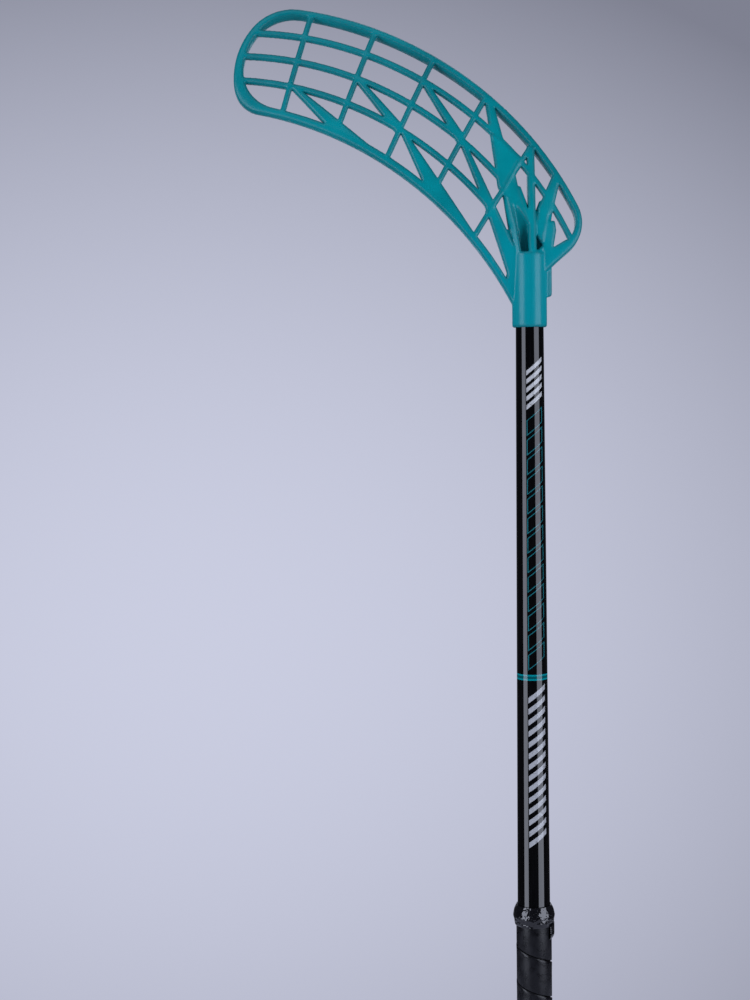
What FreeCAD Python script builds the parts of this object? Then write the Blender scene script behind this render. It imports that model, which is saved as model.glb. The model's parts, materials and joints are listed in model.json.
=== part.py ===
"""Floorball stick: lattice blade with hosel, tapered shaft, wound grip and end plug.

Millimetres. +Z runs along the shaft from the butt end to the blade, +X points to the
heel of the blade and -Y to its backhand side.
"""
import math
import os

import FreeCAD
import Part
import Sketcher
from FreeCAD import Placement, Rotation, Vector

doc = FreeCAD.newDocument("floorball_stick")
sheet = doc.addObject("Spreadsheet::Sheet", "sizes")


class Size:
    """A length or angle that knows both its number and its spreadsheet expression."""

    def __init__(self, value, text):
        self.value = value
        self.text = text

    @staticmethod
    def of(item):
        """Return item as a Size, so that plain numbers can join in a sum."""
        return item if isinstance(item, Size) else Size(float(item), repr(float(item)))

    def join(self, other, sign, value):
        """Return the Size that joins two others by an operator."""
        return Size(value, "(%s %s %s)" % (self.text, sign, Size.of(other).text))

    def __add__(self, other):
        return self.join(other, "+", self.value + Size.of(other).value)

    def __sub__(self, other):
        return self.join(other, "-", self.value - Size.of(other).value)

    def __mul__(self, other):
        return self.join(other, "*", self.value * Size.of(other).value)

    def __neg__(self):
        return Size(-self.value, "(-1 * %s)" % self.text)


# Shared allowances
OVERRUN = 2.0
FIT_CLEARANCE = 0.05
WRAP_CLEARANCE = 0.3

# Shaft tube
SHAFT_LENGTH = 920.0
SHAFT_WALL = 1.6
SHAFT_BUTT_RADIUS = 12.4
SHAFT_TIP_RADIUS = 10.5

# End plug
PLUG_FLANGE_THICKNESS = 5.0
PLUG_FLANGE_RADIUS = 13.8
PLUG_EDGE_DEPTH = 2.4
PLUG_EDGE_WIDTH = 1.6
PLUG_SPIGOT_LENGTH = 26.0
PLUG_SPIGOT_WALL = 2.4
PLUG_LEAD = 1.2

# Grip band and the tape that finishes it
GRIP_THICKNESS = 0.9
GRIP_PITCH = 28.0
GRIP_GAP = 0.6
GRIP_LENGTH = 426.0
GRIP_MARGIN = 0.4
TAPE_HEIGHT = 18.0
TAPE_BULGE_RADIUS = 15.2
TAPE_TOP_RADIUS = 13.3
TAPE_BOTTOM_RADIUS = 14.5
TAPE_OVERLAP = 13.0
TAPE_BULGE_HEIGHT = 7.0

# Hosel
HOSEL_RADIUS = 12.6
HOSEL_BORE_DEPTH = 52.0
HOSEL_FLOOR = 2.6
HOSEL_MOUTH_BEVEL = 0.8
HOSEL_OVERLAP = 1.0

# Horns: the two arms that the hosel grows into, one to the toe and one to the heel
LEAF_TIP_HEIGHT = 104.0
LEAF_TIP_SIDE = 13.3
LEAF_TIP_WIDTH = 13.6
LEAF_TIP_DEPTH = 6.8
LEAF_TIP_FRONT = 4.8
LEAF_OVERLAP = 6.0
HEEL_TIP_HEIGHT = 93.0
HEEL_TIP_SIDE = 13.2
HEEL_TIP_WIDTH = 10.4
HEEL_TIP_DEPTH = 6.0
HEEL_TIP_FRONT = 3.9
HORN_RADIUS = 12.1
HORN_TIP_CORNER = 2.2
HEEL_FOOT_SIDE = 2.6

# Scoop: the pocket in the front of the horns, deepest at its lip
SCOOP_HEAD = 96.0
SCOOP_HEAD_SIDE = 13.4
SCOOP_SHOULDER = 78.0
SCOOP_SHOULDER_SIDE = 10.4
SCOOP_FOOT_SIDE = 7.0
SCOOP_LIP = 0.5
SCOOP_LIP_SIDE = 4.0
SCOOP_CORNER = 5.6
SCOOP_CORNER_SIDE = 10.2
SCOOP_HEAD_FRONT = 3.0
SCOOP_LIP_BACK = 7.5

# Blade screws
SCREW_RADIUS = 1.45
SCREW_LENGTH = 8.0
SCREW_HEAD_RADIUS = 2.9
SCREW_HEAD_HEIGHT = 1.9
SCREW_FIRST_HEIGHT = 16.0
SCREW_PITCH = 22.0
SCREW_SPOT_DEPTH = 0.5
SCREW_SPOT_MARGIN = 0.3
SCREW_RECESS_WIDTH = 0.9
SCREW_RECESS_LENGTH = 3.2
SCREW_RECESS_DEPTH = 1.1

# Blade: how it is set on the shaft and how it is curved
BLADE_HEIGHT = 100.0
LIE_ANGLE = 33.5
LOFT_ANGLE = 10.0
HOOK_RADIUS = 900.0
HOOK_STATION = 80.0
SCOOP_RADIUS = 230.0

# Blade plan, in a flat frame whose first axis runs to the toe and second to the floor edge
FLOOR_RADIUS = 292.0
FLOOR_STATION = 112.0
FLOOR_RISE = 51.3
LOWER_RADIUS = 310.0
LOWER_STATION = 111.0
LOWER_DROP = 39.0
RIB_RADIUS = 294.0
RIB_STATION = 107.0
TOE_FLOOR_REACH = 235.5
TOE_REACH = 244.6
TOE_REACH_DROP = 9.0
TOE_LOWER_REACH = 218.5
HEEL_REACH = 54.0
TOE_FLOOR_ROUND = 38.0
TOE_LOWER_ROUND = 24.0
TOE_LOWER_INNER_ROUND = 32.0
HEEL_ROUND = 27.0
THROAT_REACH = 38.0
HEEL_THROAT_REACH = 41.0
HEEL_THROAT_DROP = 46.0

# Rim and ribs
FLOOR_RIM_WIDTH = 4.0
LOWER_RIM_WIDTH = 4.8
TOE_RIM_WIDTH = 5.0
HEEL_RIM_WIDTH = 6.0
RIM_FRONT = 4.6
RIM_BACK = 5.6
RIM_BACK_SHIFT = 12.0
RIB_FRONT = 4.2
RIB_BACK = 2.0
LONG_RIB_WIDTH = 3.3
CROSS_RIB_WIDTH = 3.1
FIRST_RIB_DROP = 21.4
RIB_PITCH = 21.0
CROSS_FLOOR_START = 17.0
CROSS_FLOOR_PITCH = 48.9
CROSS_LOWER_START = 16.6
CROSS_LOWER_PITCH = 42.8
BRACE_NARROW = 3.0
BRACE_WIDE = 6.6
WEB_SEAT = 1.0
WEB_TIP_WIDTH = 5.0

# Fan of gussets at the hosel
GUSSET_NARROW = 4.4
GUSSET_WIDE = 12.0
SPINE_WIDTH = 4.8
HEEL_BRACE_NARROW = 5.0
HEEL_BRACE_WIDE = 10.8
HEEL_BRACE_REACH = 10.5
HEEL_BRACE_FOOT = 84.0
HEEL_BRACE_SIDE = 11.4
ELBOW_FOOT = 34.0
ELBOW_FOOT_SIDE = 8.0
ELBOW_WIDE = 13.0
WEB_ROOT = 9.5
TOE_WEB_HEAD = 37.0
TOE_WEB_SIDE = 17.0
TOE_WEB_FOOT = 22.5
TOE_WEB_FOOT_SIDE = 14.6
HEEL_WEB_HEAD = 77.0
HEEL_WEB_HEAD_SIDE = 18.6
HEEL_WEB_BROW = 70.3
HEEL_WEB_BROW_SIDE = 19.4
HEEL_WEB_NOTCH = 57.0
HEEL_WEB_NOTCH_SIDE = 17.1
HEEL_WEB_END = 63.4
HEEL_WEB_END_SIDE = 27.7
HEEL_WEB_END_FOOT = 55.0
HEEL_WEB_FOOT = 42.0
SPINE_SIDE = 1.9
SPINE_HEAD = 134.0
SPINE_FOOT = 52.0
SPINE_HEAD_FRONT = 2.0
SPINE_HEAD_BACK = 10.0
SPINE_FOOT_FRONT = 12.1
SPINE_FOOT_BACK = 2.0
FIN_REACH = 16.2
FIN_THICKNESS = 6.0
FIN_FOOT = 22.5
FIN_HEAD = 58.0
FIN_ROUND = 2.0
FLANK_HEAD = 72.0
FLANK_HEAD_REACH = 20.0
FLANK_BEND = 42.0
FLANK_BEND_REACH = 15.6
FLANK_TOE = 36.0
FLANK_TOE_REACH = 17.8
FLANK_FOOT = 18.0
FLANK_THICKNESS = 10.0


class Sizes:
    """The driving dimensions, each one a cell of the spreadsheet with its own alias."""

    def __init__(self, named):
        for row, (name, value) in enumerate(named.items(), start=1):
            alias = name.lower()
            cell = "B%d" % row
            sheet.set("A%d" % row, alias)
            sheet.set(cell, str(value))
            sheet.setAlias(cell, alias)
            setattr(self, alias, Size(value, "sizes.%s" % alias))


def driving_sizes():
    """Return the named lengths and angles written above, without the shares and the counts."""
    named = dict(globals())
    return {
        name: value for name, value in named.items()
        if name.isupper() and isinstance(value, float) and not name.endswith("SHARE")
    }


z = Sizes(driving_sizes())
doc.recompute()

# Heights along the shaft that several pieces share
shaft_foot = z.plug_flange_thickness + z.fit_clearance
shaft_head = shaft_foot + z.shaft_length
hosel_foot = shaft_head - z.hosel_bore_depth
hosel_lip = shaft_head + z.hosel_floor
grip_foot = shaft_foot + z.grip_margin
grip_head = grip_foot + z.grip_length
grip_radius = z.shaft_butt_radius + z.wrap_clearance + z.grip_thickness
bore_radius = z.shaft_tip_radius + z.fit_clearance


def bind(item, **bindings):
    """Bind properties of a document object to spreadsheet expressions."""
    for path, size in bindings.items():
        item.setExpression(path.replace("__", "."), size.text)


def body_named(name):
    """Return a new, empty body whose label names its file."""
    body = doc.addObject("PartDesign::Body", name)
    body.Label = name
    return body


def origin_part(body, role):
    """Return an origin plane or axis of a body by its role."""
    return next(item for item in body.Origin.OriginFeatures if item.Role == role)


def pin_point(sketch, geometry, point, corner):
    """Tie one sketch point to its place by a distance along each axis."""
    for kind, axis, size in (("DistanceX", -2, corner[0]), ("DistanceY", -1, corner[1])):
        size = Size.of(size)
        if size.value == 0.0:
            sketch.addConstraint(Sketcher.Constraint("PointOnObject", geometry, point, axis))
            continue
        index = sketch.addConstraint(Sketcher.Constraint(kind, -1, 1, geometry, point, size.value))
        sketch.setExpression("Constraints[%d]" % index, size.text)


def profile(body, name, role, corners):
    """Return a closed straight-sided sketch on an origin plane, each corner bound to sizes."""
    sketch = body.newObject("Sketcher::SketchObject", name)
    sketch.AttachmentSupport = (origin_part(body, role), [""])
    sketch.MapMode = "FlatFace"
    places = [Vector(Size.of(x).value, Size.of(y).value, 0) for x, y in corners]
    count = len(corners)
    for index in range(count):
        sketch.addGeometry(Part.LineSegment(places[index], places[(index + 1) % count]), False)
    for index in range(count):
        sketch.addConstraint(Sketcher.Constraint("Coincident", index, 2, (index + 1) % count, 1))
    for index, corner in enumerate(corners):
        pin_point(sketch, index, 1, corner)
    return sketch


def turned(body, name, corners, role="XZ_Plane"):
    """Return a full revolution of a profile about the body's Z axis."""
    sketch = profile(body, name + "_profile", role, corners)
    turn = body.newObject("PartDesign::Revolution", name)
    turn.Profile = sketch
    turn.ReferenceAxis = (origin_part(body, "Z_Axis"), [""])
    turn.Angle = 360.0
    return turn


def padded(body, name, role, corners, thickness):
    """Return a pad of a profile, half of its thickness to each side of the plane."""
    sketch = profile(body, name + "_profile", role, corners)
    pad = body.newObject("PartDesign::Pad", name)
    pad.Profile = sketch
    pad.SideType = "Symmetric"
    bind(pad, Length=thickness)
    return pad


def rounded(body, name, base, radius, choose):
    """Return a fillet of the edges of a feature that the test picks."""
    doc.recompute()
    edges = ["Edge%d" % (i + 1) for i, edge in enumerate(base.Shape.Edges) if choose(edge)]
    fillet = body.newObject("PartDesign::Fillet", name)
    fillet.Base = (base, edges)
    bind(fillet, Radius=radius)
    return fillet


def solid_feature(name, shape, placement=None):
    """Return a document object that holds a shape worked out by formula."""
    item = doc.addObject("Part::Feature", name)
    item.Shape = shape
    if placement is not None:
        item.Placement = placement
    return item


def boolean(kind, name, base, tool):
    """Return the cut or common of two document objects."""
    item = doc.addObject("Part::" + kind, name)
    item.Base = base
    item.Tool = tool
    item.Refine = False
    return item


def fused(name, pieces):
    """Return the union of document objects."""
    item = doc.addObject("Part::MultiFuse", name)
    item.Shapes = pieces
    item.Refine = False
    return item


# Shaft tube: straight under the grip, tapered to the hosel, straight again inside it
shaft_body = body_named("shaft_tube")
turned(shaft_body, "tube", [
    (z.shaft_butt_radius - z.shaft_wall, shaft_foot),
    (z.shaft_butt_radius, shaft_foot),
    (z.shaft_butt_radius, grip_head),
    (z.shaft_tip_radius, hosel_foot),
    (z.shaft_tip_radius, shaft_head),
    (z.shaft_tip_radius - z.shaft_wall, shaft_head),
    (z.shaft_tip_radius - z.shaft_wall, hosel_foot),
    (z.shaft_butt_radius - z.shaft_wall, grip_head),
])

# End plug: a flange that closes the tube and a hollow spigot that holds inside it
plug_body = body_named("end_plug")
spigot_radius = z.shaft_butt_radius - z.shaft_wall - z.fit_clearance
spigot_head = shaft_foot + z.plug_spigot_length
turned(plug_body, "plug", [
    (0, 0),
    (z.plug_flange_radius - z.plug_edge_width, 0),
    (z.plug_flange_radius, z.plug_edge_depth),
    (z.plug_flange_radius, z.plug_flange_thickness),
    (spigot_radius, z.plug_flange_thickness),
    (spigot_radius, spigot_head - z.plug_lead),
    (spigot_radius - z.plug_lead, spigot_head),
    (spigot_radius - z.plug_spigot_wall, spigot_head),
    (spigot_radius - z.plug_spigot_wall, z.plug_flange_thickness),
    (0, z.plug_flange_thickness),
])

# Finishing tape: a swollen turn that holds the upper end of the grip band to the shaft
tape_body = body_named("finishing_tape")
tape_foot = grip_head - z.tape_overlap
tape_head = tape_foot + z.tape_height
tape_inside = grip_radius + z.wrap_clearance
tape_seat = z.shaft_butt_radius + z.wrap_clearance
turned(tape_body, "tape", [
    (tape_inside, tape_foot),
    (z.tape_bottom_radius, tape_foot),
    (z.tape_bulge_radius, tape_foot + z.tape_bulge_height),
    (z.tape_top_radius, tape_head),
    (tape_seat, tape_head),
    (tape_seat, grip_head + z.wrap_clearance),
    (tape_inside, grip_head + z.wrap_clearance),
])


def helix_point(radius, turn, foot):
    """Return a point on the grip's helix after a number of turns."""
    angle = -2.0 * math.pi * turn
    height = foot + z.grip_pitch.value * turn
    return Vector(radius * math.cos(angle), radius * math.sin(angle), height)


# Grip band: one flat band wound on the shaft, its two ends cut square to the axis
QUARTERS_SHARE = 0.25
grip_inside = (z.shaft_butt_radius + z.wrap_clearance).value
grip_turns = math.ceil(z.grip_length.value / z.grip_pitch.value) + 1
band_width = z.grip_pitch.value - z.grip_gap.value
band_foot = grip_foot.value - z.grip_pitch.value


def helix_wire(radius, foot):
    """Return a helix as a chain of curves of a quarter turn each."""
    steps = int(grip_turns / QUARTERS_SHARE)
    edges = []
    for step in range(steps):
        turns = [(step + share) * QUARTERS_SHARE for share in (0.0, 1 / 3, 2 / 3, 1.0)]
        curve = Part.BSplineCurve()
        curve.interpolate(
            [helix_point(radius, turn, foot) for turn in turns],
            InitialTangent=helix_tangent(radius, turns[0]),
            FinalTangent=helix_tangent(radius, turns[-1]),
        )
        edges.append(curve.toShape())
    return Part.Wire(edges)


def helix_tangent(radius, turn):
    """Return the direction of the grip's helix after a number of turns."""
    angle = -2.0 * math.pi * turn
    rise = z.grip_pitch.value / (2.0 * math.pi)
    return Vector(radius * math.sin(angle), -radius * math.cos(angle), rise).normalize()


def grip_shape():
    """Return the wound band, swept along its helix and cut to the grip's length."""
    spine = helix_wire(grip_inside, band_foot)
    start = helix_point(grip_inside, 0.0, band_foot)
    outward = Vector(z.grip_thickness.value, 0, 0)
    upward = Vector(0, 0, band_width)
    section = Part.makePolygon([start, start + outward, start + outward + upward, start + upward, start])
    shell = Part.BRepOffsetAPI.MakePipeShell(spine)
    shell.setBiNormalMode(Vector(0, 0, 1))
    shell.add(section, False, False)
    shell.build()
    shell.makeSolid()
    band = shell.shape()
    room = z.tape_bulge_radius.value
    keep = Part.makeCylinder(room, z.grip_length.value, Vector(0, 0, grip_foot.value))
    return band.common(keep)


def least_gap():
    """Return the least distance from the band's upper edge to the lower edge of its next turn."""
    turns = [step / GAP_STEPS for step in range(GAP_STEPS + 1)]
    upper = [helix_point(grip_inside, turn, band_foot + band_width) for turn in turns]
    lower = [helix_point(grip_inside, turn + 1.0, band_foot) for turn in turns]
    return min(high.distanceToPoint(low) for high in upper for low in lower)


GAP_STEPS = 720
grip_feature = solid_feature("grip_band", grip_shape())
grip_feature.Label = "grip_band"
print("grip_band least gap to itself", round(least_gap(), 3))


# Blade frame: its plan lies flat, then is turned by the lie, the loft and half of the hook
def blade_placement():
    """Return the placement that carries the flat blade frame to the shaft."""
    lie = math.radians(z.lie_angle.value)
    loft = math.radians(z.loft_angle.value)
    lean = z.hook_station.value / z.hook_radius.value
    along = Vector(-math.cos(lie), 0, math.sin(lie))
    across = Vector(math.sin(lie), 0, math.cos(lie))
    away = Vector(0, 1, 0)
    second = across * math.cos(loft) + away * math.sin(loft)
    tilted = away * math.cos(loft) - across * math.sin(loft)
    first = along * math.cos(lean) + tilted * math.sin(lean)
    third = tilted * math.cos(lean) - along * math.sin(lean)
    turn = Rotation(first, second, third, "ZXY")
    return Placement(Vector(0, 0, hosel_foot.value + z.blade_height.value), turn)


blade_place = blade_placement()
hook_sag = z.hook_radius.value - math.sqrt(z.hook_radius.value ** 2 - z.hook_station.value ** 2)
draw_depth = z.blade_height.value


def arc_height(apex, radius, run):
    """Return the height of a long curve of the blade at a run from its highest point."""
    return apex - radius + math.sqrt(radius ** 2 - run ** 2)


def floor_height(reach, inset=0.0):
    """Return the height of the floor edge, moved in by an inset."""
    return arc_height(z.floor_rise.value - inset, z.floor_radius.value, reach - z.floor_station.value)


def lower_height(reach, inset=0.0):
    """Return the height of the edge toward the shaft, moved in by an inset."""
    return arc_height(inset - z.lower_drop.value, z.lower_radius.value, reach - z.lower_station.value)


def long_apex(level):
    """Return the highest point of a long rib, counted from the floor edge."""
    return z.floor_rise.value - z.first_rib_drop.value - (level - 1) * z.rib_pitch.value


def long_height(level, reach):
    """Return the height of a long rib at a reach toward the toe."""
    return arc_height(long_apex(level), z.rib_radius.value, reach - z.rib_station.value)


def flat(reach, height):
    """Return a point of the flat blade plan."""
    return Vector(reach, height, 0)


def curve_between(height, start, end):
    """Return the arc of a long curve between two reaches."""
    middle = (start + end) / 2
    points = [flat(reach, height(reach)) for reach in (start, middle, end)]
    return Part.Arc(*points).toShape()


def prism(edges):
    """Return a plan outline carried right through the blade's depth."""
    face = Part.Face(Part.Wire(Part.sortEdges(edges)[0]))
    face.translate(Vector(0, 0, -draw_depth))
    return face.extrude(Vector(0, 0, 2 * draw_depth))


def plan_prism(floor_inset, toe_inset, lower_inset, heel_inset):
    """Return the blade's outline, moved in by an inset at each side, as a deep prism."""
    toe_top = z.toe_floor_reach.value - toe_inset
    toe_low = z.toe_lower_reach.value - toe_inset
    toe = flat(z.toe_reach.value - toe_inset, -z.toe_reach_drop.value)
    heel = heel_inset - z.heel_reach.value
    throat = -z.throat_reach.value
    floor = lambda reach: floor_height(reach, floor_inset)
    lower = lambda reach: lower_height(reach, lower_inset)
    corner = flat(heel_inset - z.heel_throat_reach.value, -z.heel_throat_drop.value)
    edges = [
        curve_between(floor, heel, toe_top),
        Part.Arc(flat(toe_top, floor(toe_top)), toe, flat(toe_low, lower(toe_low))).toShape(),
        curve_between(lower, toe_low, throat),
        Part.LineSegment(flat(throat, lower(throat)), corner).toShape(),
        Part.LineSegment(corner, flat(heel, floor(heel))).toShape(),
    ]
    blank = prism(edges)
    toe_lower_round = z.toe_lower_inner_round.value if toe_inset else z.toe_lower_round.value
    rounds = (
        (flat(toe_top, floor(toe_top)), z.toe_floor_round.value - toe_inset),
        (flat(toe_low, lower(toe_low)), toe_lower_round),
        (flat(heel, floor(heel)), z.heel_round.value - heel_inset),
    )
    for place, radius in rounds:
        near = [edge for edge in blank.Edges if upright_at(edge, place)]
        blank = blank.makeFillet(radius, near)
    return blank


def upright_at(edge, place):
    """Tell whether an edge runs straight through the blade's depth at a plan point."""
    middle = edge.CenterOfMass
    off = math.hypot(middle.x - place.x, middle.y - place.y)
    return off < z.fit_clearance.value and edge.BoundBox.ZLength > draw_depth


def cross_line(station):
    """Return the two ends of a cross rib, counted from the toe, on the blade's edges."""
    steps = CROSS_RIBS - station
    top = z.cross_floor_start.value + steps * z.cross_floor_pitch.value
    low = z.cross_lower_start.value + steps * z.cross_lower_pitch.value
    return flat(top, floor_height(top)), flat(low, lower_height(low))


def node(level, station):
    """Return where a long rib, or an edge of the blade, meets a cross rib."""
    top, low = cross_line(station)
    if level == 0:
        return top
    if level == LONG_RIBS + 1:
        return flat(low.x, lower_height(low.x, z.lower_rim_width.value))
    place = (top + low) * 0.5
    for _ in range(SETTLE_STEPS):
        share = (top.y - long_height(level, place.x)) / (top.y - low.y)
        place = top + (low - top) * share
    return place


def strip(points, widths):
    """Return a strip through plan points, mitred at its bends and as wide as told at each point."""
    left = []
    right = []
    for index, (point, width) in enumerate(zip(points, widths)):
        before = points[max(index - 1, 0)]
        after = points[min(index + 1, len(points) - 1)]
        along = (after - before).normalize()
        side = Vector(-along.y, along.x, 0) * (width / 2)
        left.append(point + side)
        right.insert(0, point - side)
    return polygon(left + right)


def wedge(start, end, start_width, end_width):
    """Return a straight strip between two plan points, tapered from width to width."""
    return strip([start, end], [start_width, end_width])


def polygon(corners):
    """Return a plan polygon carried through the blade's depth."""
    return prism(Part.makePolygon(corners + corners[:1]).Edges)


def long_rib(level, start, end):
    """Return a long rib as a curved strip of one width."""
    half = z.long_rib_width.value / 2
    upper = lambda reach: long_height(level, reach) + half
    lower = lambda reach: long_height(level, reach) - half
    edges = [
        curve_between(upper, start, end),
        Part.LineSegment(flat(end, upper(end)), flat(end, lower(end))).toShape(),
        curve_between(lower, end, start),
        Part.LineSegment(flat(start, lower(start)), flat(start, upper(start))).toShape(),
    ]
    return prism(edges)


LONG_RIBS = 3
CROSS_RIBS = 5
SETTLE_STEPS = 6

# Braces of the lattice: from a node to the node one rib lower and one station nearer the heel
BRACES = (((2, 2), (3, 3)), ((1, 3), (2, 4)))

# Webs that spread from a node of the lowest long rib onto the lower rim: the station of that node
# and the shares of a cross rib's pitch by which the web's foot runs to the toe and to the heel
WEB_FOOT_SHARES = ((1, 0.16, 0.75), (3, 0.18, 1.15))


def web_prism(station, toe_share, heel_share):
    """Return the web that spreads from a long rib's node onto the lower rim."""
    foot = node(LONG_RIBS + 1, station + 1).x
    pitch = z.cross_lower_pitch.value
    inset = z.lower_rim_width.value - z.web_seat.value
    tip = node(LONG_RIBS, station).x
    tips = [flat(reach, long_height(LONG_RIBS, reach)) for reach in (tip - z.web_tip_width.value, tip)]
    ends = [foot + toe_share * pitch, foot - heel_share * pitch]
    return polygon(tips + [flat(reach, lower_height(reach, inset)) for reach in ends])


def rib_prisms():
    """Return the strips of all ribs, braces and webs that lie in the lattice."""
    reach = z.toe_reach.value
    heel = -z.heel_reach.value
    hidden = node(LONG_RIBS, CROSS_RIBS).x - z.cross_rib_width.value
    strips = [long_rib(1, heel, reach), long_rib(2, heel, reach), long_rib(3, hidden, reach)]
    width = z.cross_rib_width.value
    for station in range(1, CROSS_RIBS + 1):
        top, low = cross_line(station)
        strips.append(wedge(top, low, width, width))
    for start, end in BRACES:
        strips.append(wedge(node(*start), node(*end), z.brace_narrow.value, z.brace_wide.value))
    strips += [web_prism(*web) for web in WEB_FOOT_SHARES]
    return strips


def hosel_point(side, height):
    """Return the plan's view of a point beside the shaft's axis, above the hosel's mouth."""
    place = Vector(side, 0, hosel_foot.value + height)
    local = blade_place.inverse().multVec(place)
    return flat(local.x, local.y)


# Share of a cross rib between two long ribs where the broad gusset's free side starts
ARM_SHARE = 0.55
# Share of the broad gusset, from the floor edge, where its filled corner starts
CORNER_SHARE = 0.5


def fan_prisms():
    """Return the gussets that spread from the horns to the floor edge and the lower rim."""
    shoulder = node(2, CROSS_RIBS)
    brow = node(0, CROSS_RIBS - 1)
    arm = shoulder + (node(1, CROSS_RIBS) - shoulder) * ARM_SHARE
    corner = brow + (shoulder - brow) * CORNER_SHARE
    leaf_width = z.leaf_tip_width.value - z.horn_tip_corner.value
    leaf_root = z.leaf_tip_height.value - z.leaf_overlap.value
    leaf_middle = hosel_point(-z.leaf_tip_side.value, leaf_root)
    leaf_near = hosel_point(leaf_width / 2 - z.leaf_tip_side.value, leaf_root)
    leaf_run = [brow, shoulder, leaf_middle]
    spine_top = hosel_point(z.spine_side.value, z.spine_head.value)
    spine_low = hosel_point(z.spine_side.value, leaf_root)
    heel_top = flat(-z.heel_brace_reach.value, floor_height(-z.heel_brace_reach.value))
    heel_low = hosel_point(z.heel_brace_side.value, z.heel_brace_foot.value)
    elbow_low = hosel_point(-z.elbow_foot_side.value, z.elbow_foot.value)
    elbow_run = [node(2, CROSS_RIBS - 1), node(3, CROSS_RIBS), elbow_low]
    toe_web = [
        hosel_point(-z.web_root.value, z.toe_web_head.value),
        hosel_point(-z.toe_web_side.value, z.toe_web_head.value),
        hosel_point(-z.toe_web_foot_side.value, z.toe_web_foot.value),
        hosel_point(-z.web_root.value, z.toe_web_foot.value),
    ]
    heel_web = [
        hosel_point(z.web_root.value, z.heel_web_head.value),
        hosel_point(z.heel_web_head_side.value, z.heel_web_head.value),
        hosel_point(z.heel_web_brow_side.value, z.heel_web_brow.value),
        hosel_point(z.heel_web_notch_side.value, z.heel_web_notch.value),
        hosel_point(z.heel_web_end_side.value, z.heel_web_end.value),
        hosel_point(z.heel_web_end_side.value, z.heel_web_end_foot.value),
        hosel_point(z.web_root.value, z.heel_web_foot.value),
    ]
    return [
        strip(leaf_run, [z.gusset_narrow.value, z.gusset_wide.value, leaf_width]),
        strip(elbow_run, [z.brace_narrow.value, z.brace_wide.value, z.elbow_wide.value]),
        wedge(spine_top, spine_low, z.spine_width.value, z.spine_width.value),
        wedge(heel_top, heel_low, z.heel_brace_narrow.value, z.heel_brace_wide.value),
        polygon([corner, node(1, CROSS_RIBS), shoulder]),
        polygon([shoulder, arm, leaf_near, leaf_middle]),
        polygon(toe_web),
        polygon(heel_web),
    ]


def curved_face(name, depth, shift=0.0):
    """Return a ring whose tube carries the blade's scoop and whose sweep carries its hook."""
    ring = doc.addObject("Part::Torus", name)
    bind(ring, Radius1=z.hook_radius - z.scoop_radius, Radius2=z.scoop_radius + depth)
    centre = Vector(z.hook_station.value, shift, z.hook_radius.value - hook_sag)
    upright = Placement(centre, Rotation(Vector(1, 0, 0), 90))
    ring.Placement = blade_place.multiply(upright)
    return ring


# Rim: the outline less its inset, kept between two curved faces
outer_plan = solid_feature("outline_prism", plan_prism(0.0, 0.0, 0.0, 0.0), blade_place)
rim_widths = (z.floor_rim_width, z.toe_rim_width, z.lower_rim_width, z.heel_rim_width)
inner_plan = solid_feature("inset_prism", plan_prism(*[width.value for width in rim_widths]), blade_place)
rim_front = curved_face("rim_front_ring", z.rim_front)
rim_back = curved_face("rim_back_ring", -z.rim_back, -z.rim_back_shift.value)
rim_plan = boolean("Cut", "rim_plan", outer_plan, inner_plan)
rim_shell = boolean("Common", "rim_shell", rim_plan, rim_front)
rim = boolean("Cut", "rim", rim_shell, rim_back)

# Lattice: every rib and gusset strip inside the outline, a little shallower than the rim
strips = rib_prisms() + fan_prisms()
pattern = solid_feature("rib_pattern", strips[0].fuse(strips[1:]), blade_place)
rib_front = curved_face("rib_front_ring", z.rib_front)
rib_back = curved_face("rib_back_ring", -z.rib_back)
rib_plan = boolean("Common", "rib_plan", pattern, outer_plan)
rib_shell = boolean("Common", "rib_shell", rib_plan, rib_front)
ribs = boolean("Cut", "ribs", rib_shell, rib_back)

# Hosel: a socket for the shaft, closed by a floor above the shaft's end
hosel_body = body_named("hosel")
turned(hosel_body, "socket", [
    (0, hosel_foot),
    (z.hosel_radius - z.hosel_mouth_bevel, hosel_foot),
    (z.hosel_radius, hosel_foot + z.hosel_mouth_bevel),
    (z.hosel_radius, hosel_lip),
    (0, hosel_lip),
])


def oval(body, name, height, centre, half, corner):
    """Return a level outline with eight sides: a rectangle whose corners are cut off."""
    side, middle = centre
    width, depth = half
    sketch = profile(body, name, "XY_Plane", [
        (side + width, middle - depth + corner),
        (side + width, middle + depth - corner),
        (side + width - corner, middle + depth),
        (side - width + corner, middle + depth),
        (side - width, middle + depth - corner),
        (side - width, middle - depth + corner),
        (side - width + corner, middle - depth),
        (side + width - corner, middle - depth),
    ])
    bind(sketch, AttachmentOffset__Base__z=height)
    return sketch


def horn(name, foot, head):
    """Return a body that tapers from a foot to a head, each told as for an oval."""
    body = body_named(name)
    taper = body.newObject("PartDesign::AdditiveLoft", name + "_taper")
    taper.Profile = oval(body, name + "_foot", *foot)
    taper.Sections = [oval(body, name + "_head", *head)]
    taper.Ruled = True
    return body


# A place on the shaft's axis
on_axis = z.horn_radius * 0

# Share of an even octagon's half width that each corner takes
OCTAGON_SHARE = 2.0 - math.sqrt(2.0)


def foot_oval(height, side, half):
    """Return the even octagon that a horn rises from."""
    return height, (side, on_axis), (half, half), half * OCTAGON_SHARE


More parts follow.
